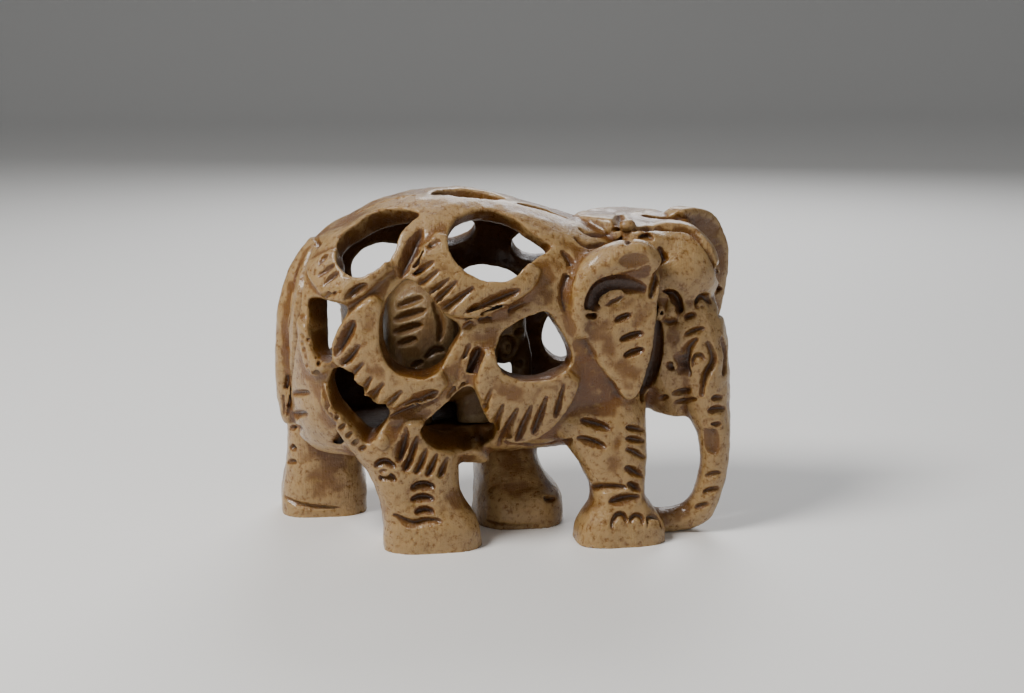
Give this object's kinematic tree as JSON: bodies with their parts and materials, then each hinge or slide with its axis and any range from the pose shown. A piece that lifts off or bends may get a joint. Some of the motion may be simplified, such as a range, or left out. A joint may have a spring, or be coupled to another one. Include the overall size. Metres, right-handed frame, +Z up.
{
  "type": "carved elephant figure",
  "caption": "Openwork soapstone elephant with petal-edged windows through its body and a smaller elephant standing loose inside",
  "frame": {"origin": "on the ground under the middle of the big elephant's box, seen from above", "axes": "+Z up, +X the way the body looks, towards the trunk, and -Y the side that the picture shows"},
  "size_m": [0.0776, 0.037, 0.0565],
  "materials": {
    "golden_soapstone": "satin polish",
    "olive_soapstone": "dull"
  },
  "bodies": {
    "root": {"outer_elephant": "golden_soapstone", "inner_elephant": "olive_soapstone"}
  },
  "joints": []
}
